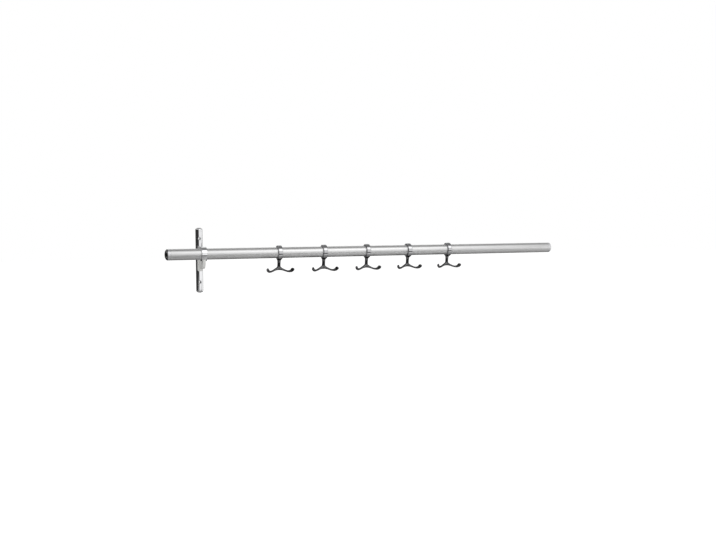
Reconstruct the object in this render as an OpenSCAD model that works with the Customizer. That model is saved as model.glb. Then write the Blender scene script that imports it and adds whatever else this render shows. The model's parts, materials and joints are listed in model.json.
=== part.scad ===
// Wall coat rack: a satin tube rail on a T-shaped wall bracket, with double hooks that slide
// along the rail and swing round it. Millimetres. X runs along the rail, the wall is the plane
// y = 0 with the room on its -Y side, and Z is up. The origin is midway between the two wall
// holes, on the wall.

/* [Rail] */
// Length of the rail over both end caps
rail_len = 1000; // [800:10:1600]
// Outer diameter of the rail
rail_od = 25; // [22:0.5:28]
// Wall of the rail tube
rail_wall = 1.5; // [1:0.1:2.5]
// Distance from the wall to the axis of the rail
rail_reach = 65; // [56:1:90]
// Height of the rail's axis above the middle of the wall holes
rail_rise = 17; // [5:1:25]
// Left end of the rail to the middle of the bracket
bracket_inset = 85; // [40:1:120]

/* [Rail end caps] */
// Length of a cap outside the tube
rail_cap_len = 12; // [9:0.5:20]
// Height of a cap's dome
rail_cap_dome = 6; // [3:0.5:7]
// Chamfer at the joint with the tube, which shows as a fine line
rail_cap_chamfer = 0.6; // [0.6:0.1:1.2]
// Length of the plug inside the tube
rail_plug_len = 16; // [10:1:30]

/* [Bracket post] */
// Height of the post over both caps
post_h = 150; // [130:1:220]
// Diameter of the post
post_od = 16; // [14:0.5:20]
// Wall of the post tube
post_wall = 2.5; // [2:0.1:3]
// Depth of the narrow flat along the back, which bears on the wall
post_flat = 1; // [0.6:0.1:1.4]
// Length of a post cap outside the tube
post_cap_len = 8; // [6:0.5:12]
// Height of a post cap's dome
post_cap_dome = 5; // [3:0.5:5.5]
// Chamfer at the joint between a post cap and the post
post_cap_chamfer = 0.3; // [0.2:0.1:0.6]
// Length of the plug of a post cap
post_plug_len = 8; // [6:0.5:10]

/* [Wall holes] */
// Distance between the two wall holes
wall_hole_pitch = 100; // [80:1:106]
// Diameter of a wall hole
wall_hole_d = 4.6; // [4:0.1:5.5]
// Diameter of the countersink at the front of a wall hole
wall_sink_d = 8.4; // [7:0.1:9.5]

/* [Bracket arm] */
// Thickness of the arm plate
arm_t = 6; // [5:0.5:8]
// Top edge of the plate above the rail's axis
arm_top = 5.8; // [3:0.1:8]
// Lowest point of the round front of the plate below the rail's axis
arm_deep = 33.6; // [28:0.2:36]
// Radius of the round front of the plate
arm_round = 22; // [18:0.5:26]
// Fall of the bottom edge towards the post, in degrees
arm_fall = 3.4; // [0:0.1:6]
// Radius where the bottom edge runs into the foot
arm_fillet = 5; // [2:0.5:8]
// Width of the foot that sits on the post
foot_w = 11; // [8:0.5:13]
// Thickness of the foot in front of the post
foot_t = 2.2; // [1.5:0.1:4]
// Height of the foot below the arm's bottom edge
foot_drop = 6; // [2:0.5:8]
// Radius of the foot's corners
foot_corner = 3; // [1:0.5:3.5]
// Diameter of the two screws that hold the arm
arm_screw_d = 4; // [3:0.5:4.5]
// Distance between the two arm screws
arm_screw_pitch = 24; // [16:1:28]
// Length of an arm screw
arm_screw_len = 16; // [12:1:24]

/* [Bracket ring] */
// Outer diameter of the ring that clamps the rail
ring_od = 32; // [30.5:0.5:38]
// Length of the ring along the rail
ring_len = 12; // [10:0.5:20]
// Diameter of the grub screw
grub_d = 4; // [3:0.5:5]

/* [Hooks] */
// Left end of the rail to the middle hook
hook_row_mid = 477; // [380:1:560]
// Distance between neighbouring hooks
hook_pitch = 109; // [90:1:115]
// Outer diameter of a hook's ring
hook_ring_od = 33; // [32:0.5:38]
// Width of a hook's ring along the rail
hook_ring_w = 10.5; // [9:0.5:16]
// Rounding of the ring's outer edges
hook_ring_edge = 1.6; // [0.8:0.1:1.8]
// Width of a hook over its two tips
hook_span = 66; // [62:1:76]
// Farthest point of the arms from the rail's axis, along the shank
hook_drop = 45.2; // [43:0.2:50]
// Height of the arch between the two arms
hook_arch = 5.4; // [4:0.2:8]
// How far the tips reach out in front of the shank
arm_sweep = 13; // [0:0.5:16]
// Lean of the shank towards the wall, at which the hook hangs in balance
hook_lean = 6.8; // [0:0.1:16]
// Narrowest width of the shank
shank_w = 7.4; // [5:0.1:9]
// Narrowest depth of the shank
shank_d = 6.4; // [5:0.1:9]
// Thickness of an arm at its thinnest
arm_thin = 4; // [3:0.1:5]
// Thickness of the casting where the two arms meet
arm_root = 6.4; // [5:0.1:8]
// Diameter of a tip
tip_d = 7; // [5:0.1:8]
// Radius of the bend that turns a tip up
tip_bend = 9; // [8:0.5:11]
// Angle at which a tip points up, in degrees
tip_angle = 68; // [45:1:75]

/* [Hook liners] */
// Wall of the nylon liner inside a hook's ring
liner_wall = 1; // [0.8:0.1:1.2]
// Thickness of a liner's lips
lip_t = 0.8; // [0.6:0.1:1.2]
// Height of a lip above the liner's wall
lip_h = 0.8; // [0.6:0.1:1]
// Width of the slit by which a liner snaps on to the rail
slit_w = 1.6; // [1:0.1:3]

/* [Clearances] */
// Radial clearance of a liner on the rail
slide_gap = 0.06; // [0.04:0.01:0.1]
// Radial clearance of a hook on its liner
swing_gap = 0.06; // [0.04:0.01:0.1]
// Clearance between a lip and its recess in the hook's ring
side_gap = 0.3; // [0.2:0.05:0.4]
// Clearance of a piece that is fixed in its seat
seat_gap = 0.05; // [0.03:0.01:0.1]

/* [Hidden] */

hook_count = 5;
round_fn = 96;
small_fn = 48;
arc_steps = 8;
over = 1;

rail_r = rail_od / 2;
rail_bore_r = rail_r - rail_wall;
rail_left = -bracket_inset;
rail_right = rail_left + rail_len;
rail_middle = (rail_left + rail_right) / 2;

post_r = post_od / 2;
post_bore_r = post_r - post_wall;
post_y = post_flat - post_r;
post_front = post_y - post_r;

ring_r = ring_od / 2;
ring_edge = 0.8;
grub_angle = 45;
grub_recess = 0.6;
grub_point = 0.4;
grub_edge = 0.3;

// Cap plugs: how much thinner the stem is than the bore, and where each of the ribs swells
plug_ribs = 3;
plug_slack = 0.8;
plug_lead = 0.6;
rib_foot = 0.35;
rib_crest = 0.1;

liner_bore_r = rail_r + slide_gap;
liner_r = liner_bore_r + liner_wall;
hook_bore_r = liner_r + swing_gap;
hook_ring_r = hook_ring_od / 2;
lip_r = liner_r + lip_h;
recess_r = lip_r + side_gap;
recess_depth = lip_t + side_gap;

arm_screw_head_share = 0.95;
arm_screw_head_r = arm_screw_d * arm_screw_head_share;
arm_screw_rim = 0.4;
arm_screw_seat = post_y - post_bore_r + arm_screw_d / 4;
socket_share = 0.55;
foot_rise = 1;
arm_screw_mid = rail_rise + arm_top - arm_deep / 2 - arm_top / 2;

// Centre and tangent point of the round front of the arm plate, in y and z
arm_round_z = rail_rise - arm_deep + arm_round;
arm_round_y = -rail_reach + arm_round
    - sqrt(ring_r * ring_r - (rail_rise - arm_round_z) * (rail_rise - arm_round_z));
arm_tangent = [arm_round_y - arm_round * sin(arm_fall), arm_round_z - arm_round * cos(arm_fall)];
foot_face = post_front - foot_t;
arm_heel_z = arm_tangent[1] - tan(arm_fall) * (foot_face - arm_tangent[0]);

// Hook casting, measured from the rail's axis with the shank upright: an arm is thinnest at
// thin_at of the way to its lowest point, and the shank's two flares start at these shares of
// its height
loft_sides = 16;
shank_steps = 12;
arm_step = 0.14;
tip_turns = [0, 30, 52, 70];
thin_at = 0.7;
neck_flare = 0.45;
arm_flare = 0.55;

// How the casting grows where its parts meet: half the neck's width as a share of the ring's,
// the extra depth of the neck, the extra width above the arms and how steeply it comes, the
// depth where the arms meet, and how deep the shank's end is buried there
neck_w_share = 0.42;
neck_d_share = 0.28;
arm_flare_share = 0.9;
arm_flare_power = 2.7;
root_d_share = 1.3;
buried_share = 0.3;

low_z = arm_half_t(1) - hook_drop;
mid_z = low_z + hook_arch;
tip_x = hook_span / 2 - tip_d / 2 * sin(tip_angle);
low_x = tip_x - tip_bend * sin(tip_angle);

function mix(a, b, t) = a + (b - a) * t;
function ease(t) = t * t * (3 - 2 * t);
function arc(c, r, from, to, steps) =
    [for (i = [0:steps]) c + r * [cos(mix(from, to, i / steps)), sin(mix(from, to, i / steps))]];
function hook_x(i) = rail_left + hook_row_mid + (i - (hook_count + 1) / 2) * hook_pitch;

// Turns a shape that was drawn round Z so that it lies round X, with its top towards +X
module along_x(x = 0, y = 0, z = 0) {
    translate([x, y, z]) rotate([0, 90, 0]) children();
}

// Extrudes a side profile, drawn as y and z, evenly to both sides of the plane x = 0
module side_profile(width) {
    rotate([90, 0, 90]) linear_extrude(width, center = true) children();
}

module at_rail(x = 0) {
    along_x(x, -rail_reach, rail_rise) children();
}

// A domed plug round Z: dome and rim above z = 0, ribbed plug below
module domed_plug(r, len, dome, chamfer, bore_r, plug_len) {
    stem_r = bore_r - plug_slack;
    rib_r = bore_r - seat_gap;
    rib_pitch = plug_len / (plug_ribs + 1);
    rotate_extrude($fn = round_fn) polygon(concat(
        [[0, -plug_len], [stem_r - plug_lead, -plug_len]],
        [for (i = [plug_ribs:-1:1]) each [
            [stem_r, -(i + rib_foot) * rib_pitch], [rib_r, -(i + rib_crest) * rib_pitch],
            [rib_r, -(i - rib_crest) * rib_pitch], [stem_r, -(i - rib_foot) * rib_pitch],
        ]],
        [[stem_r, 0], [r - chamfer, 0], [r, chamfer]],
        [for (i = [0:arc_steps]) [r * cos(90 * i / arc_steps), len - dome + dome * sin(90 * i / arc_steps)]]
    ));
}

module post_outline() {
    difference() {
        circle(r = post_r, $fn = round_fn);
        translate([-post_od, -post_y]) square([2 * post_od, post_od]);
    }
}

module bracket_post() {
    tube_h = post_h - 2 * post_cap_len;
    color("gainsboro") difference() {
        translate([0, post_y, 0]) linear_extrude(tube_h, center = true) post_outline();
        translate([0, post_y, 0])
            cylinder(r = post_bore_r, h = tube_h + 2 * over, center = true, $fn = round_fn);
        for (z = [-1, 1] * wall_hole_pitch / 2) translate([0, over, z]) rotate([90, 0, 0]) {
            cylinder(d = wall_hole_d, h = post_od + 2 * over, $fn = small_fn);
            wall_sink(-post_front + over);
        }
        at_arm_screws() {
            arm_screw_shape(seat_gap);
            translate([0, 0, -post_bore_r])
                cylinder(r = arm_screw_head_r + 2 * seat_gap, h = post_bore_r + seat_gap, $fn = small_fn);
        }
    }
}

// Countersink whose wide end lies on the front of the post, depth measured from the back
module wall_sink(depth) {
    sink_h = (wall_sink_d - wall_hole_d) / 2;
    translate([0, 0, depth - sink_h])
        cylinder(d1 = wall_hole_d, d2 = wall_sink_d + 2 * over, h = sink_h + over, $fn = small_fn);
}

module post_cap(top) {
    color("gainsboro") difference() {
        translate([0, post_y, 0]) mirror([0, 0, top ? 0 : 1])
            translate([0, 0, post_h / 2 - post_cap_len])
            domed_plug(post_r, post_cap_len, post_cap_dome, post_cap_chamfer, post_bore_r, post_plug_len);
        translate([-post_od, 0, -post_h]) cube([2 * post_od, post_od, 2 * post_h]);
    }
}

// Places arm screws with their heads at the origin, inside the post, pointing to the room
module at_arm_screws() {
    for (z = [-1, 1] * arm_screw_pitch / 2)
        translate([0, arm_screw_seat, arm_screw_mid + z]) rotate([90, 0, 0]) children();
}

module arm_screw_shape(gap) {
    rotate_extrude($fn = small_fn) polygon([
        [0, 0], [arm_screw_head_r + gap, 0], [arm_screw_head_r + gap, arm_screw_rim],
        [arm_screw_d / 2 + gap, arm_screw_rim + arm_screw_head_r - arm_screw_d / 2],
        [arm_screw_d / 2 + gap, arm_screw_len + gap], [0, arm_screw_len + gap],
    ]);
}

module arm_screws() {
    socket_d = arm_screw_d * socket_share;
    color("dimgray") at_arm_screws() difference() {
        arm_screw_shape(0);
        translate([0, 0, -over]) cylinder(d = socket_d, h = over + arm_screw_d / 2, $fn = 6);
    }
}

// Side outline of the arm plate, from the foot forwards under the ring
module arm_outline() {
    top_z = rail_rise + arm_top;
    polygon(concat(
        [[post_y, top_z], [arm_round_y, top_z], [-rail_reach, arm_round_z]],
        arc([arm_round_y, arm_round_z], arm_round, 180, 270 - arm_fall, 3 * arc_steps),
        arc([foot_face - arm_fillet, arm_heel_z - arm_fillet], arm_fillet, 90 - arm_fall, 0, arc_steps),
        [[post_y, arm_heel_z - arm_fillet]]
    ));
}

module arm_foot() {
    side = foot_w / 2 - foot_corner;
    top_z = rail_rise + arm_top + foot_rise - foot_corner;
    low_z = arm_heel_z - foot_drop + foot_corner;
    translate([0, post_y, 0]) rotate([90, 0, 0]) linear_extrude(post_y - foot_face) polygon(concat(
        arc([side, top_z], foot_corner, 0, 90, arc_steps),
        arc([-side, top_z], foot_corner, 90, 180, arc_steps),
        arc([-side, low_z], foot_corner, 180, 270, arc_steps),
        arc([side, low_z], foot_corner, 270, 360, arc_steps)
    ));
}

module bracket_arm() {
    color("lightgray") difference() {
        union() {
            side_profile(arm_t) arm_outline();
            arm_foot();
        }
        at_rail() cylinder(r = ring_r, h = ring_len, center = true, $fn = round_fn);
        translate([0, post_y, 0]) cylinder(r = post_r, h = post_h, center = true, $fn = round_fn);
        at_arm_screws() cylinder(d = arm_screw_d + 2 * seat_gap, h = arm_screw_len + over, $fn = small_fn);
    }
}

module bracket_ring() {
    bore_r = rail_r + seat_gap;
    lead = ring_edge / 2;
    half = ring_len / 2;
    color("silver") difference() {
        at_rail() rotate_extrude($fn = round_fn) polygon(concat(
            [[bore_r, lead - half], [bore_r + lead, -half]],
            arc([ring_r - ring_edge, ring_edge - half], ring_edge, 270, 360, arc_steps / 2),
            arc([ring_r - ring_edge, half - ring_edge], ring_edge, 0, 90, arc_steps / 2),
            [[bore_r + lead, half], [bore_r, half - lead]]
        ));
        at_grub() cylinder(d = grub_d + 2 * seat_gap, h = ring_od, $fn = small_fn);
    }
}

// Places the grub screw with its foot on the rail, pointing up and back from the rail's axis
module at_grub() {
    translate([0, -rail_reach, rail_rise]) rotate([grub_angle - 90, 0, 0]) children();
}

module ring_grub_screw() {
    socket_d = grub_d * socket_share;
    length = ring_r - rail_r - grub_recess;
    color("dimgray") at_grub() translate([0, 0, rail_r]) difference() {
        rotate_extrude($fn = small_fn) polygon([
            [0, 0], [grub_d / 2 - grub_point, 0], [grub_d / 2, grub_point],
            [grub_d / 2, length - grub_edge], [grub_d / 2 - grub_edge, length], [0, length],
        ]);
        translate([0, 0, length / 2]) cylinder(d = socket_d, h = length, $fn = 6);
    }
}

module rail_tube() {
    tube_len = rail_len - 2 * rail_cap_len;
    color("silver") at_rail(rail_middle) difference() {
        cylinder(r = rail_r, h = tube_len, center = true, $fn = round_fn);
        cylinder(r = rail_bore_r, h = tube_len + 2 * over, center = true, $fn = round_fn);
    }
}

module rail_cap(right) {
    x = right ? rail_right - rail_cap_len : rail_left + rail_cap_len;
    color("gainsboro") at_rail(x) mirror([0, 0, right ? 0 : 1])
        domed_plug(rail_r, rail_cap_len, rail_cap_dome, rail_cap_chamfer, rail_bore_r, rail_plug_len);
}

// A closed skin over a list of rings, each a list of as many points
module loft(rings) {
    n = len(rings[0]);
    last = (len(rings) - 1) * n;
    polyhedron(
        points = [for (ring = rings) each ring],
        faces = concat(
            [[for (j = [0:n - 1]) j]],
            [for (i = [0:len(rings) - 2], j = [0:n - 1]) each [
                [i * n + j, (i + 1) * n + j, (i + 1) * n + (j + 1) % n],
                [i * n + j, (i + 1) * n + (j + 1) % n, i * n + (j + 1) % n],
            ]],
            [[for (j = [n - 1:-1:0]) last + j]]
        )
    );
}

// Middle line of an arm: u runs 0 to 1 from the shank to the lowest point, then 1 to 2 up the bend
function arm_point(u) = u < 1
    ? [low_x * u, mix(mid_z, low_z, (1 - cos(180 * u)) / 2)]
    : [low_x + tip_bend * sin(tip_angle * (u - 1)), low_z + tip_bend * (1 - cos(tip_angle * (u - 1)))];
function arm_heading(u) = u < 1
    ? atan2((low_z - mid_z) / 2 * PI * sin(180 * u), low_x)
    : tip_angle * (u - 1);
function arm_half_t(u) = u < thin_at
    ? mix(arm_root, arm_thin, ease(u / thin_at)) / 2
    : mix(arm_thin, tip_d, ease((u - thin_at) / (2 - thin_at))) / 2;
function arm_half_w(u) = mix(shank_d * root_d_share, tip_d, ease(u / 2)) / 2;

// Both arms sweep forward from the shank, so that each tip points out at the user
function swept(x, y, z) = [x, y - arm_sweep * (1 - cos(90 * x / tip_x)), z];

// One ring of an arm: side is -1 or 1, ahead runs past the section, shrink rounds the tip
function arm_ring(side, u, ahead = 0, shrink = 1) =
    let (h = arm_heading(u), p = arm_point(u) + ahead * [cos(h), sin(h)])
    [for (j = [0:loft_sides - 1]) let (a = 360 * j / loft_sides, t = arm_half_t(u) * shrink * sin(a))
        swept(side * (p[0] - t * sin(h)), arm_half_w(u) * shrink * cos(a), p[1] + t * cos(h))];

module hook_arms() {
    half = concat(
        [for (u = [arm_step:arm_step:2 - arm_step / 4]) [u, 0, 1]],
        [for (a = tip_turns) [2, tip_d / 2 * sin(a), cos(a)]]
    );
    count = len(half);
    loft(concat(
        [for (i = [count - 1:-1:0]) arm_ring(-1, half[i][0], half[i][1], half[i][2])],
        [arm_ring(1, 0)],
        [for (h = half) arm_ring(1, h[0], h[1], h[2])]
    ));
}

// The shank flares out of the ring's wall and again into the arms, where its end is buried
module hook_shank() {
    top_z = -(recess_r + hook_ring_r) / 2;
    end_z = mid_z - arm_root * buried_share;
    loft([for (i = [0:shank_steps]) let (
        v = i / shank_steps,
        up = pow(max(0, 1 - v / neck_flare), 2),
        down = pow(max(0, (v - arm_flare) / (1 - arm_flare)), arm_flare_power),
        neck_half_w = hook_ring_w * neck_w_share,
        half_w = mix(shank_w / 2, neck_half_w, up) + down * shank_w * arm_flare_share,
        half_d = shank_d / 2 + up * shank_d * neck_d_share
    ) [for (j = [0:loft_sides - 1]) let (a = 360 * j / loft_sides)
        swept(half_w * cos(a), -half_d * sin(a), mix(top_z, end_z, v))
    ]]);
}

// Ring round the rail, with a recess at each side for a lip of the liner
module hook_ring() {
    half = hook_ring_w / 2;
    along_x() rotate_extrude($fn = round_fn) polygon(concat(
        [[hook_bore_r, recess_depth - half], [recess_r, recess_depth - half], [recess_r, -half]],
        arc([hook_ring_r - hook_ring_edge, hook_ring_edge - half], hook_ring_edge, 270, 360, arc_steps),
        arc([hook_ring_r - hook_ring_edge, half - hook_ring_edge], hook_ring_edge, 0, 90, arc_steps),
        [[recess_r, half], [recess_r, half - recess_depth], [hook_bore_r, half - recess_depth]]
    ));
}

module hook(i) {
    color("slategray") translate([hook_x(i), -rail_reach, rail_rise]) rotate([hook_lean, 0, 0]) union() {
        hook_ring();
        hook_shank();
        hook_arms();
    }
}

// Nylon sleeve with a lip at each end, slit at the top so that it snaps over the rail
module hook_liner(i) {
    end = hook_ring_w / 2;
    color("dimgray") at_rail(hook_x(i)) difference() {
        rotate_extrude($fn = round_fn) polygon([
            [liner_bore_r, -end], [lip_r, -end], [lip_r, lip_t - end], [liner_r, lip_t - end],
            [liner_r, end - lip_t], [lip_r, end - lip_t], [lip_r, end], [liner_bore_r, end],
        ]);
        translate([-rail_od, -slit_w / 2, -end - over]) cube([rail_od, slit_w, 2 * (end + over)]);
    }
}

bracket_post();
post_cap(true);  // post_cap_top
post_cap(false);  // post_cap_bottom
bracket_arm();
arm_screws();
bracket_ring();
ring_grub_screw();
rail_tube();
rail_cap(false);  // rail_cap_left
rail_cap(true);  // rail_cap_right
for (i = [1:hook_count]) {
    hook(i);
    hook_liner(i);
}
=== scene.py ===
# Wall coat rack: the finishes, the polished hook castings, the domed caps, the camera and the studio.
import json
import math

import bmesh
import bpy
import numpy as np
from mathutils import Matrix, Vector


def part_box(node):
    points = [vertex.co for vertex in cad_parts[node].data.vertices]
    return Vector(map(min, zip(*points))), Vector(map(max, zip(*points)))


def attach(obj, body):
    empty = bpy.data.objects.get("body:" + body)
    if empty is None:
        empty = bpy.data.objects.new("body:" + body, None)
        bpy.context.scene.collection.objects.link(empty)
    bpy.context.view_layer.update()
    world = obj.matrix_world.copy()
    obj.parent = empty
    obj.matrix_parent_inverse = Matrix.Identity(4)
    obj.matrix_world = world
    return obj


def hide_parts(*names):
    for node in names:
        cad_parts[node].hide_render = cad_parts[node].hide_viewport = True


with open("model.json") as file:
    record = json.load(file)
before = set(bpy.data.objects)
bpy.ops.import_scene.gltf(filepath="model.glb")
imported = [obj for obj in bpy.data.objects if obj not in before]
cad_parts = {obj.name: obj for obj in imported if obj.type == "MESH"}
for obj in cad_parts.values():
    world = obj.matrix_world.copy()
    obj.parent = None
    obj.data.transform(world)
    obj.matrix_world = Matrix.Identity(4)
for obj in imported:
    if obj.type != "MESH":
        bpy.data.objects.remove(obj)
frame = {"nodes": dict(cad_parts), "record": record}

MM = 0.001
HOOKS = 5
AXIS_Y, AXIS_Z = [(low + high) / 2 for low, high in zip(*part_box("rail_tube"))][1:]
bpy.context.view_layer.update()

# Camera: the frame's width and the focal length in pixels, the place in metres, the angles in degrees

FRAME_PX = 716
FOCAL_PX = 773.2
SENSOR_MM = 36.0
CAMERA_AT = (-0.2970, -1.7970, 0.1122)
CAMERA_YAW = 21.04
CAMERA_PITCH = 4.34


def make_camera():
    data = bpy.data.cameras.new("camera")
    data.sensor_width = SENSOR_MM
    data.lens = FOCAL_PX / FRAME_PX * SENSOR_MM
    camera = bpy.data.objects.new("camera", data)
    camera.location = CAMERA_AT
    camera.rotation_euler = (math.radians(90 - CAMERA_PITCH), 0, -math.radians(CAMERA_YAW))
    bpy.context.scene.collection.objects.link(camera)
    bpy.context.scene.camera = camera


# Node graph helpers

BLACK, WHITE = (0, 0, 0, 1), (1, 1, 1, 1)
# The colour sockets of a Mix node: its share, its two colours and its result
MIX_SHARE, MIX_FROM, MIX_TO, MIX_RESULT = 0, 6, 7, 2
# The values between which most of a noise lies, and most of the sum of two
NOISE_RANGE = (0.3, 0.7)
SUM_RANGE = (0.7, 1.3)


def node_maker(tree):
    """A function that adds a node to a tree and sets its inputs, each to a value or to another's output."""
    def add(kind, inputs=None, **settings):
        node = tree.nodes.new(kind)
        for key, value in settings.items():
            setattr(node, key, value)
        for key, value in (inputs or {}).items():
            if isinstance(value, bpy.types.NodeSocket):
                tree.links.new(value, node.inputs[key])
            else:
                node.inputs[key].default_value = value
        return node
    return add


def new_material(name):
    """A material with its Principled shader, and a function that adds a node to it."""
    material = bpy.data.materials.new(name)
    material.use_nodes = True
    shader = material.node_tree.nodes["Principled BSDF"]
    return material, shader, node_maker(material.node_tree)


def bare_material(name):
    """A material without any node, and a function that adds one."""
    material = bpy.data.materials.new(name)
    material.use_nodes = True
    material.node_tree.nodes.clear()
    return material, node_maker(material.node_tree)


def link(shader, key, value):
    shader.id_data.links.new(value, shader.inputs[key])


def place(add, stretch=(1, 1, 1)):
    """The object's own coordinates, scaled along each axis, so that a grain can run one way."""
    where = add("ShaderNodeTexCoord")
    return add("ShaderNodeMapping", {"Vector": where.outputs["Object"], "Scale": stretch}).outputs["Vector"]


def coordinate(add, axis):
    """The object's own coordinate along one axis."""
    return add("ShaderNodeSeparateXYZ", {0: place(add)}).outputs[axis]


def noise(add, stretch, scale, detail, roughness):
    made = add("ShaderNodeTexNoise", {"Vector": place(add, stretch), "Scale": scale, "Detail": detail,
                                      "Roughness": roughness})
    return made.outputs["Fac"]


def spread(add, value, low, high, from_low=NOISE_RANGE[0], from_high=NOISE_RANGE[1]):
    """A value carried over from one range, by default that of a noise, to another."""
    made = add("ShaderNodeMapRange", {"Value": value, "From Min": from_low, "From Max": from_high,
                                      "To Min": low, "To Max": high})
    return made.outputs["Result"]


def maths(add, operation, *values):
    return add("ShaderNodeMath", dict(enumerate(values)), operation=operation).outputs[0]


def mix_colors(add, share, first, second):
    made = add("ShaderNodeMix", {MIX_SHARE: share, MIX_FROM: first, MIX_TO: second}, data_type="RGBA")
    return made.outputs[MIX_RESULT]


def varied(add, value, tone, change):
    """A tone that a noise makes darker and lighter by the given share."""
    dark = (*[c * (1 - change) for c in tone], 1)
    light = (*[min(1, c * (1 + change)) for c in tone], 1)
    return mix_colors(add, spread(add, value, 0.0, 1.0), dark, light)


def relief(add, shader, height, depth):
    """Bumps of the given depth in metres."""
    bump = add("ShaderNodeBump", {"Height": height, "Strength": 1.0, "Distance": depth})
    link(shader, "Normal", bump.outputs["Normal"])


# Finishes

# Noises: how fine each is along x, y and z, then its scale, detail and roughness
TUBE_LINES = (6, 900, 900), 1.0, 4.0, 0.6
PLATE_LINES = (700, 700, 8), 1.0, 4.0, 0.6
SCREW_GRAIN = (400, 400, 400), 1.0, 4.0, 0.6
SATIN_CLOUD = (9, 9, 9), 1.0, 2.0, 0.5
WIPE_MARKS = (140, 90, 210), 1.0, 5.0, 0.65
BUFF_CLOUD = (55, 55, 55), 1.0, 2.0, 0.5
NYLON_GRAIN = (1, 1, 1), 1400.0, 3.0, 0.5
NYLON_CLOUD = (1, 1, 1), 120.0, 2.0, 0.5
# How much the tone (as a share of it) and the roughness change over a finish
SATIN_TONES, POLISH_TONES, NYLON_TONES = 0.05, 0.04, 0.15
SATIN_CHANGE, WIPE_CHANGE = 0.03, 0.05
NYLON_ROUGHNESS = (0.42, 0.58)
# The castings: how much painted shade darkens the shank and arms, the distances below the rail's axis
# between which that painted shade fades, and the tint of their reflections at a grazing angle
ARM_PAINTED_SHADE = 0.8
PAINTED_SHADE_FROM, PAINTED_SHADE_TO = 21 * MM, 7 * MM
CASTING_EDGE_TINT = (0.3, 0.3, 0.3, 1)
# The caps of the rail: their outer ends, the roughness of skirt and dome, how much painted shade darkens
# each dome, and half the width of the edge between them
RAIL_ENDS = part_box("rail_cap_left")[0][0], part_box("rail_cap_right")[1][0]
SKIRT_ROUGHNESS = 0.36
DOME_ROUGHNESS = 0.1
CAP_PAINTED_SHADE = {"left": 0.8, "right": 0.1}
DOME_EDGE = 0.2 * MM


def satin_metal(name, tone, roughness, lines, depth, metallic=1.0):
    """A metal with a directional grain: fine lines in its relief, its tone and its gloss."""
    material, shader, add = new_material(name)
    shader.inputs["Metallic"].default_value = metallic
    fine = noise(add, *lines)
    both = maths(add, "ADD", fine, noise(add, *SATIN_CLOUD))
    link(shader, "Base Color", varied(add, fine, tone, SATIN_TONES))
    link(shader, "Roughness",
         spread(add, both, roughness - SATIN_CHANGE, roughness + SATIN_CHANGE, *SUM_RANGE))
    relief(add, shader, fine, depth)
    return material


def plating(name, tone, waviness):
    """The start of a bright finish, with the slight waviness of buffing: its material, shader and node
    function, then its colour and its wiping marks, which the finish still has to link."""
    material, shader, add = new_material(name)
    shader.inputs["Metallic"].default_value = 1.0
    cloud = noise(add, *BUFF_CLOUD)
    relief(add, shader, cloud, waviness)
    return material, shader, add, varied(add, cloud, tone, POLISH_TONES), noise(add, *WIPE_MARKS)


def polished_metal(name, tone, roughness, waviness):
    """Bright plating: almost a mirror, with faint wiping marks."""
    material, shader, add, color, marks = plating(name, tone, waviness)
    link(shader, "Base Color", color)
    link(shader, "Roughness", spread(add, marks, roughness, roughness + WIPE_CHANGE))
    return material


def cast_chrome(name, tone, roughness, waviness):
    """Plating with painted shade: its colour darkens on the cast shank and arms below the turned ring."""
    material, shader, add, color, marks = plating(name, tone, waviness)
    shader.inputs["Specular Tint"].default_value = CASTING_EDGE_TINT
    # Painted shade: the colour darkens below the ring, in place of the dark reflections of shank and arms
    painted_shade = spread(add, coordinate(add, "Z"), ARM_PAINTED_SHADE, 0.0, AXIS_Z - PAINTED_SHADE_FROM, AXIS_Z - PAINTED_SHADE_TO)
    link(shader, "Base Color", mix_colors(add, painted_shade, color, BLACK))
    link(shader, "Roughness", spread(add, marks, roughness, roughness + WIPE_CHANGE))
    return material


def cap_plating(name, tone, painted_shade, waviness):
    """A satin skirt like the tube's and a polished dome, which painted shade darkens by the given share."""
    material, shader, add, color, marks = plating(name, tone, waviness)
    middle = sum(RAIL_ENDS) / 2
    dome_from = RAIL_ENDS[1] - middle - RAIL_CAP["dome"] * MM
    edge = dome_from - DOME_EDGE, dome_from + DOME_EDGE
    out = maths(add, "ABSOLUTE", maths(add, "SUBTRACT", coordinate(add, "X"), middle))
    # Painted shade: the dome's colour darkens towards black by the given share
    link(shader, "Base Color", mix_colors(add, spread(add, out, 0.0, painted_shade, *edge), color, BLACK))
    even = spread(add, out, SKIRT_ROUGHNESS, DOME_ROUGHNESS, *edge)
    link(shader, "Roughness", maths(add, "ADD", even, spread(add, marks, 0.0, WIPE_CHANGE)))
    return material


def moulded_nylon(name, tone, depth):
    material, shader, add = new_material(name)
    grain = noise(add, *NYLON_GRAIN)
    link(shader, "Base Color", varied(add, noise(add, *NYLON_CLOUD), tone, NYLON_TONES))
    link(shader, "Roughness", spread(add, grain, *NYLON_ROUGHNESS))
    relief(add, shader, grain, depth)
    return material


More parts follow.
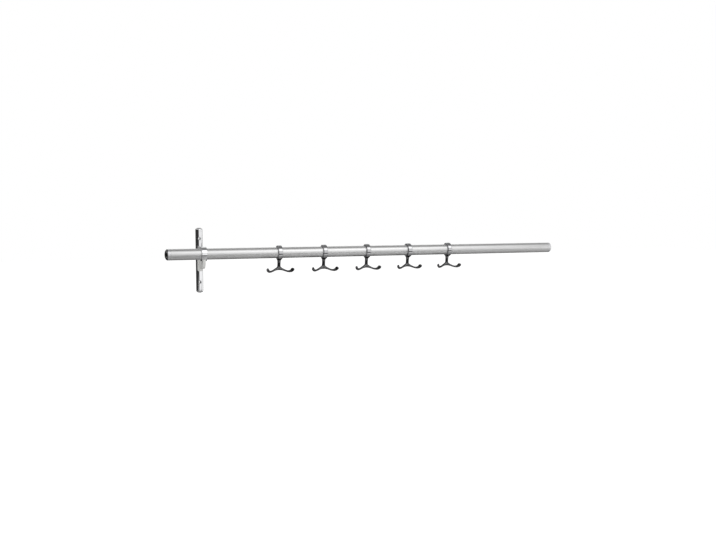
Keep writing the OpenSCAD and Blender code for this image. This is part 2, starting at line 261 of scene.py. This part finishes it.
def make_finishes():
    """One finish for each slot, and one for the left cap with more painted shade, in the tones that the
    model's record gives.
    """
    tone = {row["slot"]: tuple(row["base_color"]) for row in frame["record"]["materials"]}
    return {
        "rail_satin": satin_metal("satin_tube", tone["rail_satin"], roughness=0.42, lines=TUBE_LINES,
                                  depth=0.001 * MM),
        # Both caps have the record's one cap tone; painted shade darkens the left dome much and the right a
        # little
        "cap_chrome": cap_plating("polished_cap", tone["cap_chrome"], CAP_PAINTED_SHADE["right"], waviness=0.01 * MM),
        "cap_painted_shade": cap_plating("cap_with_painted_shade", tone["cap_chrome"], CAP_PAINTED_SHADE["left"], waviness=0.01 * MM),
        "post_chrome": polished_metal("polished_post", tone["post_chrome"], roughness=0.04,
                                      waviness=0.01 * MM),
        "ring_chrome": polished_metal("polished_ring", tone["ring_chrome"], roughness=0.04,
                                      waviness=0.01 * MM),
        "hook_chrome": cast_chrome("polished_casting", tone["hook_chrome"], roughness=0.06,
                                   waviness=0.03 * MM),
        "arm_satin": satin_metal("satin_plate", tone["arm_satin"], roughness=0.4, lines=PLATE_LINES,
                                 depth=0.003 * MM, metallic=0.25),
        "screw_steel": satin_metal("zinc_screw", tone["screw_steel"], roughness=0.35, lines=SCREW_GRAIN,
                                   depth=0.005 * MM),
        "liner_nylon": moulded_nylon("dark_nylon", tone["liner_nylon"], depth=0.02 * MM),
    }


def dress(finishes):
    """Gives each node of the model its detailed finish in place of its plain colour."""
    slot_of = {row["node"]: row["material_slot"] for row in frame["record"]["subparts"]}
    for name, node in frame["nodes"].items():
        node.data.materials.clear()
        node.data.materials.append(finishes[slot_of[name]])


def add_piece(name, mesh, finish, body, node):
    """Puts a mesh in the scene in place of a node."""
    mesh.materials.append(finish)
    piece = bpy.data.objects.new(name, mesh)
    bpy.context.scene.collection.objects.link(piece)
    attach(piece, body)
    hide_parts(node)


# Hook castings, in millimetres from the middle of the ring, x along the rail and z up.
# Their sizes are those of the model's source.

RING_R = 16.5
RING_W = 10.5
RING_EDGE = 1.6
RING_BORE_R = 13.62
RECESS_R = 14.66
RECESS_DEPTH = 1.1
SPAN = 66.0
DROP = 45.2
ARCH = 5.4
SWEEP = 13.0
LEAN = 6.8
SHANK_W = 7.4
SHANK_D = 6.4
ARM_ROOT = 6.4
ARM_THIN = 4.0
TIP_D = 7.0
TIP_BEND = 9.0
TIP_ANGLE = math.radians(68)
# The share of the way to its trough at which an arm is thinnest, and the shares of the shank's height at
# which the neck's flare ends and the arms' flare begins
THIN_AT = 0.7
NECK_FLARE = 0.45
ARM_FLARE = 0.55
# How the casting grows where its parts meet: half the neck's width as a share of the ring's, the extra
# depth of the neck, the extra width above the arms and how steeply it comes, the depth where the arms
# meet, and how deep the shank's end is buried there
NECK_W_SHARE = 0.42
NECK_D_SHARE = 0.28
ARM_FLARE_SHARE = 0.9
ARM_FLARE_POWER = 2.7
ROOT_D_SHARE = 1.3
BURIED_SHARE = 0.3
# Radii of the cast fillets and of the edges that are cut into the ring
FILLET = 2.6
BORE_EDGE = 0.3
# The skin: its grid, the room round it, how often its points are evened out and how far each time
CASTING_STEP = 0.5
CASTING_ROOM = 2
RELAX_ROUNDS = 3
RELAX_SHARE = 0.6
# Moving a point to the surface: the tries, the distance over which the slope is measured, and the least
# squared slope that a move is divided by
SETTLE_TRIES = 4
SLOPE_REACH = 0.02
SLOPE_LEAST = 0.25
# The nearest place on an arm's middle line: the places compared first, how many points at a time, the
# finer tries after that, and where a point starts to count as past the tip
SPINE_PLACES = 121
SPINE_BATCH = 20000
SPINE_TRIES = 3
SPINE_END = 1.999
# A distance that no fillet reaches
FAR = 50.0


def mix(a, b, t):
    return a + (b - a) * t


def ease(t):
    return t * t * (3 - 2 * t)


def arm_half_t(u):
    """Half an arm's thickness; u runs from 0 at the shank over 1 at the trough to 2 at the tip."""
    root = mix(ARM_ROOT, ARM_THIN, ease(np.clip(u / THIN_AT, 0, 1)))
    tip = mix(ARM_THIN, TIP_D, ease(np.clip((u - THIN_AT) / (2 - THIN_AT), 0, 1)))
    return np.where(u < THIN_AT, root, tip) / 2


def arm_half_w(u):
    return mix(SHANK_D * ROOT_D_SHARE, TIP_D, ease(u / 2)) / 2


LOW_Z = float(arm_half_t(np.array(1.0))) - DROP
MID_Z = LOW_Z + ARCH
TIP_X = SPAN / 2 - TIP_D / 2 * math.sin(TIP_ANGLE)
LOW_X = TIP_X - TIP_BEND * math.sin(TIP_ANGLE)


def arm_spine(u):
    """The middle line of one arm: down from the shank to the trough, then up round the crook."""
    bend = TIP_ANGLE * (u - 1)
    x = np.where(u < 1, LOW_X * u, LOW_X + TIP_BEND * np.sin(bend))
    z = np.where(u < 1, mix(MID_Z, LOW_Z, (1 - np.cos(math.pi * u)) / 2),
                 LOW_Z + TIP_BEND * (1 - np.cos(bend)))
    return x, z


def arm_heading(u):
    """The direction of the middle line, and how far it runs for each unit of u."""
    bend = TIP_ANGLE * (u - 1)
    dx = np.where(u < 1, LOW_X, TIP_BEND * TIP_ANGLE * np.cos(bend))
    dz = np.where(u < 1, (LOW_Z - MID_Z) / 2 * math.pi * np.sin(math.pi * u),
                  TIP_BEND * TIP_ANGLE * np.sin(bend))
    pace = np.hypot(dx, dz)
    return dx / pace, dz / pace, pace


def soft_min(a, b, radius):
    near = np.clip(radius - np.abs(a - b), 0, None) / radius
    return np.minimum(a, b) - near * near * radius / 4


def soft_max(a, b, radius):
    return -soft_min(-a, -b, radius)


def ring_field(x, y, z):
    across = np.abs(x) - (RING_W / 2 - RING_EDGE)
    out = np.hypot(y, z) - (RING_R - RING_EDGE)
    corner = np.hypot(np.clip(across, 0, None), np.clip(out, 0, None))
    return corner + np.clip(np.maximum(across, out), None, 0) - RING_EDGE


def shank_field(x, y, z):
    """The shank, from inside the ring's wall down into the arms, with a flare at each end."""
    top_z = -(RECESS_R + RING_R) / 2
    end_z = MID_Z - ARM_ROOT * BURIED_SHARE
    v = np.clip((z - top_z) / (end_z - top_z), 0, 1)
    up = np.clip(1 - v / NECK_FLARE, 0, None) ** 2
    down = np.clip((v - ARM_FLARE) / (1 - ARM_FLARE), 0, None) ** ARM_FLARE_POWER
    half_w = SHANK_W / 2 + up * (RING_W * NECK_W_SHARE - SHANK_W / 2) + down * SHANK_W * ARM_FLARE_SHARE
    half_d = SHANK_D / 2 + up * SHANK_D * NECK_D_SHARE
    side = (np.hypot(x / half_w, y / half_d) - 1) * np.minimum(half_w, half_d)
    return np.maximum(side, np.maximum(z - top_z, end_z - z))


def arm_field(x, y, z):
    """Both arms at once, measured across the middle line from its nearest point."""
    x = np.abs(x)
    places = np.linspace(0, 2, SPINE_PLACES)
    spine_x, spine_z = arm_spine(places)
    nearest = np.empty(x.shape)
    for batch in np.array_split(np.arange(x.size), max(1, x.size // SPINE_BATCH)):
        gap = np.hypot(x[batch, None] - spine_x, z[batch, None] - spine_z)
        nearest[batch] = places[gap.argmin(axis=1)]
    for _ in range(SPINE_TRIES):
        px, pz = arm_spine(nearest)
        hx, hz, pace = arm_heading(nearest)
        nearest = np.clip(nearest + ((x - px) * hx + (z - pz) * hz) / pace, 0, 2)
    px, pz = arm_spine(nearest)
    hx, hz, _ = arm_heading(nearest)
    past = np.where(nearest > SPINE_END, (x - px) * hx + (z - pz) * hz, 0)
    over = (z - pz) * hx - (x - px) * hz
    half_w, half_t = arm_half_w(nearest), arm_half_t(nearest)
    round_section = np.sqrt((y / half_w) ** 2 + (over / half_t) ** 2 + (past / half_t) ** 2)
    return (round_section - 1) * np.minimum(half_w, half_t)


def casting_field(points):
    """Below zero inside the casting, above it outside, and close to the distance near the surface."""
    x, y, z = points.T
    swept_y = y + SWEEP * (1 - np.cos(math.pi / 2 * x / TIP_X))
    body = soft_min(ring_field(x, y, z), shank_field(x, swept_y, z), FILLET)
    low = z < -RING_R
    arms = np.full(x.shape, FAR)
    arms[low] = arm_field(x[low], swept_y[low], z[low])
    body = soft_min(body, arms, FILLET)
    out = np.hypot(y, z)
    body = soft_max(body, RING_BORE_R - out, BORE_EDGE)
    recess = np.maximum(out - RECESS_R, RING_W / 2 - RECESS_DEPTH - np.abs(x))
    return soft_max(body, -recess, BORE_EDGE)


def surface_cells(field, low, high, step):
    """One point in each grid cell that the surface crosses, and the quads that join them."""
    axes = [np.arange(a, b + step, step) for a, b in zip(low, high)]
    grid = np.stack(np.meshgrid(*axes, indexing="ij"), axis=-1)
    inside = (field(grid.reshape(-1, 3)) < 0).reshape(grid.shape[:3])
    wide, deep, tall = [count - 1 for count in inside.shape]
    corners = sum(inside[i:wide + i, j:deep + j, k:tall + k].astype(int)
                  for i in (0, 1) for j in (0, 1) for k in (0, 1))
    crossed = (corners > 0) & (corners < 8)
    number = np.full(crossed.shape, -1)
    number[crossed] = np.arange(crossed.sum())
    points = np.array(low) + (np.argwhere(crossed) + 0.5) * step
    quads = []
    for axis in range(3):
        one, two = [a for a in range(3) if a != axis]
        here = np.moveaxis(inside, axis, 0)
        edges = np.argwhere(here[1:] != here[:-1])
        starts = here[:-1][tuple(edges.T)]
        edges = np.insert(edges[:, 1:], axis, edges[:, 0], axis=1) if axis else edges
        ring = []
        for a, b in ((-1, -1), (0, -1), (0, 0), (-1, 0)):
            cell = edges.copy()
            cell[:, one] += a
            cell[:, two] += b
            ring.append(number[tuple(cell.T)])
        quad = np.stack(ring, axis=1)
        flip = starts if axis != 1 else ~starts
        quads.append(np.where(flip[:, None], quad, quad[:, ::-1]))
    return points, np.concatenate(quads)


def settle(field, points):
    """Moves points onto the surface along the field's slope."""
    shifts = np.eye(3) * SLOPE_REACH
    for _ in range(SETTLE_TRIES):
        value = field(points)
        slope = np.stack([(field(points + shift) - value) / SLOPE_REACH for shift in shifts], axis=1)
        points = points - slope * (value / np.maximum((slope ** 2).sum(axis=1), SLOPE_LEAST))[:, None]
    return points


def relax(points, quads):
    """Evens out the points over the surface."""
    total = np.zeros_like(points)
    count = np.zeros(len(points))
    for a, b in ((0, 1), (1, 2), (2, 3), (3, 0)):
        np.add.at(total, quads[:, a], points[quads[:, b]])
        np.add.at(total, quads[:, b], points[quads[:, a]])
        np.add.at(count, quads[:, a], 1)
        np.add.at(count, quads[:, b], 1)
    return mix(points, total / count[:, None], RELAX_SHARE)


def make_casting_shape():
    """The skin of a casting, leaned towards the wall round the rail's axis."""
    low = (-SPAN / 2 - CASTING_ROOM, -RING_R - CASTING_ROOM, -DROP - CASTING_ROOM)
    high = (SPAN / 2 + CASTING_ROOM, RING_R + CASTING_ROOM, RING_R + CASTING_ROOM)
    points, quads = surface_cells(casting_field, low, high, CASTING_STEP)
    points = settle(casting_field, points)
    for _ in range(RELAX_ROUNDS):
        points = settle(casting_field, relax(points, quads))
    lean = math.radians(LEAN)
    x, y, z = points.T
    back, up = y * math.cos(lean) - z * math.sin(lean), y * math.sin(lean) + z * math.cos(lean)
    return np.stack([x, back, up], axis=1), quads


def make_castings(finish):
    shape, quads = make_casting_shape()
    for number in range(1, HOOKS + 1):
        low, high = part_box(f"hook_liner_{number}")
        middle = [(low[0] + high[0]) / 2, AXIS_Y, AXIS_Z]
        mesh = bpy.data.meshes.new(f"casting_{number}")
        mesh.from_pydata((shape * MM + middle).tolist(), [], quads.tolist())
        mesh.shade_smooth()
        add_piece(f"casting_{number}", mesh, finish, f"hook_{number}", f"hook_{number}")


# Domed caps, in millimetres

RAIL_CAP = {"radius": 12.5, "length": 12, "dome": 6, "chamfer": 0.6, "bore_r": 11, "plug_len": 16}
POST_CAP = {"radius": 8, "length": 8, "dome": 5, "chamfer": 0.3, "bore_r": 5.5, "plug_len": 8}
CIRCLE = 128
DOME_STEPS = 28
PLUG_RIBS = 3
PLUG_SLACK = 0.8
PLUG_LEAD = 0.6
RIB_FOOT = 0.35
RIB_CREST = 0.1
SEAT_GAP = 0.05
CAP_SHARP = math.radians(25)


def cap_profile(radius, length, dome, chamfer, bore_r, plug_len):
    """Half outline of a cap, as distances from its axis and along it: ribbed plug, rim and dome."""
    stem_r, rib_r, pitch = bore_r - PLUG_SLACK, bore_r - SEAT_GAP, plug_len / (PLUG_RIBS + 1)
    outline = [(0, -plug_len), (stem_r - PLUG_LEAD, -plug_len)]
    for rib in range(PLUG_RIBS, 0, -1):
        outline += [(stem_r, -(rib + RIB_FOOT) * pitch), (rib_r, -(rib + RIB_CREST) * pitch),
                    (rib_r, -(rib - RIB_CREST) * pitch), (stem_r, -(rib - RIB_FOOT) * pitch)]
    outline += [(stem_r, 0), (radius - chamfer, 0), (radius, chamfer)]
    for step in range(DOME_STEPS + 1):
        turn = math.pi / 2 * step / DOME_STEPS
        outline.append((radius * math.cos(turn), length - dome + dome * math.sin(turn)))
    outline[-1] = (0, length)
    return outline


def make_lathed(name, outline, place_point):
    """A closed revolve of an outline that starts and ends on the axis. The function place_point takes
    two offsets from the axis and the height along it."""
    points, faces = [], []
    for radius, height in outline[1:-1]:
        for step in range(CIRCLE):
            turn = 2 * math.pi * step / CIRCLE
            points.append(place_point(radius * math.cos(turn), radius * math.sin(turn), height))
    foot, top = len(points), len(points) + 1
    last = len(points) - CIRCLE
    points += [place_point(0, 0, outline[0][1]), place_point(0, 0, outline[-1][1])]
    for step in range(CIRCLE):
        after = (step + 1) % CIRCLE
        faces.append((foot, after, step))
        for row in range(0, last, CIRCLE):
            faces.append((row + step, row + after, row + CIRCLE + after, row + CIRCLE + step))
        faces.append((last + step, last + after, top))
    mesh = bpy.data.meshes.new(name)
    mesh.from_pydata([[v * MM for v in p] for p in points], [], faces)
    made = bmesh.new()
    made.from_mesh(mesh)
    bmesh.ops.recalc_face_normals(made, faces=made.faces)
    made.to_mesh(mesh)
    made.free()
    mesh.shade_smooth()
    mesh.set_sharp_from_angle(angle=CAP_SHARP)
    return mesh


def make_rail_caps(cap_finishes):
    outline = cap_profile(**RAIL_CAP)
    for side, way in (("left", -1), ("right", 1)):
        low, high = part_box(f"rail_cap_{side}")
        joint_x = (high[0] if way > 0 else low[0]) / MM - way * RAIL_CAP["length"]

        def on_rail(a, b, height):
            return joint_x + way * height, AXIS_Y / MM + a, AXIS_Z / MM + b

        mesh = make_lathed(f"end_dome_{side}", outline, on_rail)
        add_piece(f"end_dome_{side}", mesh, cap_finishes[side], "rack", f"rail_cap_{side}")


def make_post_caps(finish):
    """The post's caps are cut off flat where the wall is."""
    outline = cap_profile(**POST_CAP)
    for side, way in (("bottom", -1), ("top", 1)):
        low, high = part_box(f"post_cap_{side}")
        joint_z = (high[2] if way > 0 else low[2]) / MM - way * POST_CAP["length"]
        middle_y = low[1] / MM + POST_CAP["radius"]

        def on_post(a, b, height):
            return a, min(middle_y + b, 0), joint_z + way * height

        mesh = make_lathed(f"post_dome_{side}", outline, on_post)
        add_piece(f"post_dome_{side}", mesh, finish, "rack", f"post_cap_{side}")


# Pieces with eased edges

ARM_EASE = 0.5 * MM
WELD = 0.002 * MM
FLAT_WITHIN = math.radians(0.5)
EASED_FROM = math.radians(30)
EASED_SHARP = math.radians(32)
EASE_SEGMENTS = 2
EASE_PROFILE = 0.5


def make_eased(node, width, finish):
    """A copy of a node whose sharp edges are rounded by the given width, as polishing leaves them."""
    made = bmesh.new()
    made.from_mesh(frame["nodes"][node].data)
    bmesh.ops.remove_doubles(made, verts=made.verts, dist=WELD)
    bmesh.ops.dissolve_limit(made, angle_limit=FLAT_WITHIN, verts=made.verts, edges=made.edges)
    sharp = [e for e in made.edges if e.is_manifold and e.calc_face_angle() > EASED_FROM]
    bmesh.ops.bevel(made, geom=sharp, offset=width, segments=EASE_SEGMENTS, profile=EASE_PROFILE,
                    affect="EDGES", clamp_overlap=True)
    mesh = bpy.data.meshes.new(f"{node}_eased")
    made.to_mesh(mesh)
    made.free()
    mesh.shade_smooth()
    mesh.set_sharp_from_angle(angle=EASED_SHARP)
    add_piece(f"{node}_eased", mesh, finish, "rack", node)


# Studio, in metres

FLOOR_Z = -1.2
FLOOR_HALF = 20
FLOOR_TONE = 0.82
FLOOR_GLOW = 0.36
WHITE_LEVEL = 1.0
SOFT_LEVEL = 0.88
LAMP_X = 0.8
LAMP_FAR = 1.5
LAMP_ANGLE = 44
LAMP_SIZE = (1.3, 0.8)
LAMP_POWER = 3.2
# Flags: distance from the rail's axis, farthest x to each side, soft edges in degrees and in metres, and
# the degrees between two bends
FLAG_R = 1.05
FLAG_LEFT, FLAG_RIGHT = -1.6, 1.8
SOFT_ANGLE = 6
SOFT_WIDTH = 0.12
FLAG_BEND = 6
FLAG_REACH = FLAG_R + 2 * SOFT_WIDTH
# Flags bent round the rail: tone, two angles (0 is the viewer's side and 90 above), first and last x
CURVED_FLAGS = {
    "flag_over": (0.26, 68, 134, FLAG_LEFT, FLAG_RIGHT),
    "flag_behind": (0.24, 160, 206, -0.05, FLAG_RIGHT),
    "flag_behind_left": (0.05, 150, 206, FLAG_LEFT, 0.05),
    "flag_below_behind": (0.04, 200, 256, FLAG_LEFT, FLAG_RIGHT),
    "flag_below": (0.36, 250, 294, FLAG_LEFT, FLAG_RIGHT),
    "flag_front": (0.13, -37, -11, FLAG_LEFT, FLAG_RIGHT),
    "flag_front_left": (0.04, -15, 12, FLAG_LEFT, -0.21),
    "flag_low_left": (0.2, -70, -33, FLAG_LEFT, 0.27),
    "flag_low": (0.42, -70, -42, 0.2, FLAG_RIGHT),
    "flag_high_left": (0.35, 8, 42, FLAG_LEFT, -0.04),
    "flag_high_right": (0.3, 8, 60, 1.4, FLAG_RIGHT),
}
# Flat flags across the ends: tone, x, then their reach along y and z from the rail's axis
SIDE_FLAGS = {
    "flag_left": (0.04, FLAG_LEFT, (-FLAG_REACH, FLAG_REACH), (-0.7, 0.7)),
    "flag_right_low": (0.3, FLAG_RIGHT, (-FLAG_REACH, FLAG_REACH), (-FLAG_REACH, -0.6)),
    "flag_right_high": (0.6, FLAG_RIGHT, (-FLAG_REACH, FLAG_REACH), (0.5, FLAG_REACH)),
}


def sees_background(add):
    """1 for the rays that show the background: the camera's own, mirrored and refracted ones."""
    path = add("ShaderNodeLightPath")
    direct_or_mirrored = maths(add, "MAXIMUM", path.outputs["Is Camera Ray"], path.outputs["Is Glossy Ray"])
    return maths(add, "MAXIMUM", direct_or_mirrored, path.outputs["Is Transmission Ray"])


def make_world():
    """White where it is seen, and a softer light where it falls on the object."""
    world = bpy.data.worlds.new("studio")
    world.use_nodes = True
    world.node_tree.nodes.clear()
    add = node_maker(world.node_tree)
    shown = add("ShaderNodeBackground", {"Color": WHITE, "Strength": WHITE_LEVEL})
    light = add("ShaderNodeBackground", {"Color": WHITE, "Strength": SOFT_LEVEL})
    both = add("ShaderNodeMixShader", {0: sees_background(add), 1: light.outputs[0], 2: shown.outputs[0]})
    add("ShaderNodeOutputWorld", {"Surface": both.outputs[0]})
    bpy.context.scene.world = world


def panel(name, corner, side_a, side_b):
    """A flat rectangle from one corner and its two sides."""
    corner, side_a, side_b = map(Vector, (corner, side_a, side_b))
    mesh = bpy.data.meshes.new(name)
    mesh.from_pydata([corner, corner + side_a, corner + side_a + side_b, corner + side_b], [], [(0, 1, 2, 3)])
    made = bpy.data.objects.new(name, mesh)
    bpy.context.scene.collection.objects.link(made)
    return made


def make_floor():
    """A pale floor that glows a little where it is seen."""
    side = 2 * FLOOR_HALF
    floor = panel("floor", (-FLOOR_HALF, -FLOOR_HALF, FLOOR_Z), (side, 0, 0), (0, side, 0))
    material, add = bare_material("pale_floor")
    paint = add("ShaderNodeBsdfDiffuse", {"Color": (FLOOR_TONE, FLOOR_TONE, FLOOR_TONE, 1)})
    glow = add("ShaderNodeEmission", {"Color": WHITE, "Strength": FLOOR_GLOW})
    both = add("ShaderNodeAddShader", {0: paint.outputs[0], 1: glow.outputs[0]})
    seen = add("ShaderNodeMixShader", {0: sees_background(add), 1: paint.outputs[0], 2: both.outputs[0]})
    add("ShaderNodeOutputMaterial", {"Surface": seen.outputs[0]})
    floor.data.materials.append(material)


def flag_cloth(name, tone):
    """An even tone that fades out where the flag's cover does."""
    material, add = bare_material(name)
    glow = add("ShaderNodeEmission", {"Color": (tone, tone, tone, 1), "Strength": 1.0})
    clear = add("ShaderNodeBsdfTransparent")
    cover = add("ShaderNodeAttribute", attribute_name="cover")
    both = add("ShaderNodeMixShader", {0: cover.outputs["Fac"], 1: clear.outputs[0], 2: glow.outputs[0]})
    add("ShaderNodeOutputMaterial", {"Surface": both.outputs[0]})
    return material


def make_flag(name, tone, rows, columns, place_point):
    """A flag with soft edges that only shows in metal: the first and last row and column fade out."""
    tall, wide = len(rows), len(columns)
    points = [place_point(a, b) for a in rows for b in columns]
    faces = [(start + j, start + j + 1, start + wide + j + 1, start + wide + j)
             for start in range(0, (tall - 1) * wide, wide) for j in range(wide - 1)]
    mesh = bpy.data.meshes.new(name)
    mesh.from_pydata(points, [], faces)
    cover = mesh.attributes.new("cover", "FLOAT", "POINT")
    inner = [float(0 < i < tall - 1 and 0 < j < wide - 1) for i in range(tall) for j in range(wide)]
    cover.data.foreach_set("value", inner)
    mesh.materials.append(flag_cloth(name, tone))
    flag = bpy.data.objects.new(name, mesh)
    bpy.context.scene.collection.objects.link(flag)
    flag.visible_camera = False
    flag.visible_diffuse = False
    flag.visible_shadow = False
    flag.visible_transmission = False


def soft_row(low, high, soft, steps=1):
    """Places from low to high, with the first and last ones a soft edge apart from the rest."""
    return [low, *(mix(low + soft, high - soft, i / steps) for i in range(steps + 1)), high]


def make_curved_flag(name, tone, low, high, from_x, to_x):
    def on_arc(angle, x):
        turn = math.radians(angle)
        return x, AXIS_Y - FLAG_R * math.cos(turn), AXIS_Z + FLAG_R * math.sin(turn)

    steps = max(1, math.ceil((high - low) / FLAG_BEND))
    make_flag(name, tone, soft_row(low, high, SOFT_ANGLE, steps), soft_row(from_x, to_x, SOFT_WIDTH), on_arc)


def make_side_flag(name, tone, x, y_range, z_range):
    def on_plane(y, z):
        return x, AXIS_Y + y, AXIS_Z + z

    make_flag(name, tone, soft_row(*y_range, SOFT_WIDTH), soft_row(*z_range, SOFT_WIDTH), on_plane)


def make_flags():
    """Flags of several tones round the rail. The metal shows white where there is none."""
    for name, flag in CURVED_FLAGS.items():
        make_curved_flag(name, *flag)
    for name, flag in SIDE_FLAGS.items():
        make_side_flag(name, *flag)


def make_lamp(name, at, aim, size, power):
    data = bpy.data.lights.new(name, "AREA")
    data.shape = "RECTANGLE"
    data.size, data.size_y = size
    data.energy = power
    lamp = bpy.data.objects.new(name, data)
    lamp.location = at
    lamp.rotation_euler = (Vector(aim) - Vector(at)).to_track_quat("-Z", "Y").to_euler()
    lamp.visible_camera = False
    bpy.context.scene.collection.objects.link(lamp)


def make_studio():
    make_world()
    make_floor()
    make_flags()
    turn = math.radians(LAMP_ANGLE)
    at = (LAMP_X, AXIS_Y - LAMP_FAR * math.cos(turn), AXIS_Z + LAMP_FAR * math.sin(turn))
    make_lamp("lamp_top", at, (LAMP_X, AXIS_Y, AXIS_Z), LAMP_SIZE, LAMP_POWER)


make_camera()
bpy.context.scene.view_settings.view_transform = "Standard"
finishes = make_finishes()
dress(finishes)
make_castings(finishes["hook_chrome"])
make_eased("bracket_arm", ARM_EASE, finishes["arm_satin"])
make_rail_caps({"left": finishes["cap_painted_shade"], "right": finishes["cap_chrome"]})
make_post_caps(finishes["post_chrome"])
make_studio()

bpy.context.view_layer.update()
